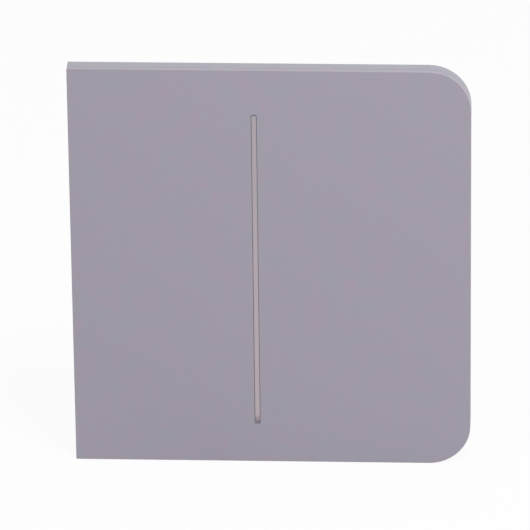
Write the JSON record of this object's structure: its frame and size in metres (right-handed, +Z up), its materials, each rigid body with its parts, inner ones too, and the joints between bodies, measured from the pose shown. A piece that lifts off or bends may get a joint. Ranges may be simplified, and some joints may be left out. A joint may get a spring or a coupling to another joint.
{
  "type": "touch switch",
  "caption": "Flat two-field touch switch for a flush wall box: grey-lilac end plate with a lit line, straight left edge and round right corners, on a steel frame and a relay base.",
  "frame": {"origin": "on the wall plane, at the axis of the flush box, behind the lit line", "axes": "+X to the right seen from the room, +Y into the wall, +Z up"},
  "size_m": [0.0768, 0.029, 0.0828],
  "materials": {
    "panel_plastic": "fine matt moulded grey-lilac",
    "guide_plastic": "milky diffusing bar",
    "copper_foil": "bright copper",
    "circuit_board": "green solder mask",
    "lamp_resin": "white lamp body",
    "black_resin": "moulded black resin",
    "plated_metal": "gold flash",
    "zinc_steel": "zinc plated",
    "base_plastic": "charcoal moulded",
    "relay_case": "blue moulded case",
    "capacitor_sleeve": "dark sleeve",
    "varistor_coat": "blue dipped coat",
    "fuse_case": "brown moulded case",
    "ferrite": "dark ferrite",
    "copper_wire": "enamelled wire"
  },
  "bodies": {
    "root": {"front_panel": "panel_plastic", "panel_tray": "panel_plastic", "light_guide": "guide_plastic", "touch_electrodes": "copper_foil", "touch_board": "circuit_board", "indicator_leds": "lamp_resin", "touch_controller": "black_resin", "header_body": "black_resin", "header_pins": "plated_metal", "mounting_frame": "zinc_steel", "frame_screws": "zinc_steel", "base_cover": "base_plastic", "base_housing": "base_plastic", "power_board": "circuit_board", "header_socket": "black_resin", "relay_left": "relay_case", "relay_right": "relay_case", "storage_capacitor": "capacitor_sleeve", "varistor": "varistor_coat", "fuse": "fuse_case", "choke_core": "ferrite", "choke_winding": "copper_wire", "bridge_rectifier": "black_resin", "terminal_clamps": "zinc_steel", "terminal_bars": "copper_foil", "terminal_screws": "zinc_steel"}
  },
  "joints": []
}
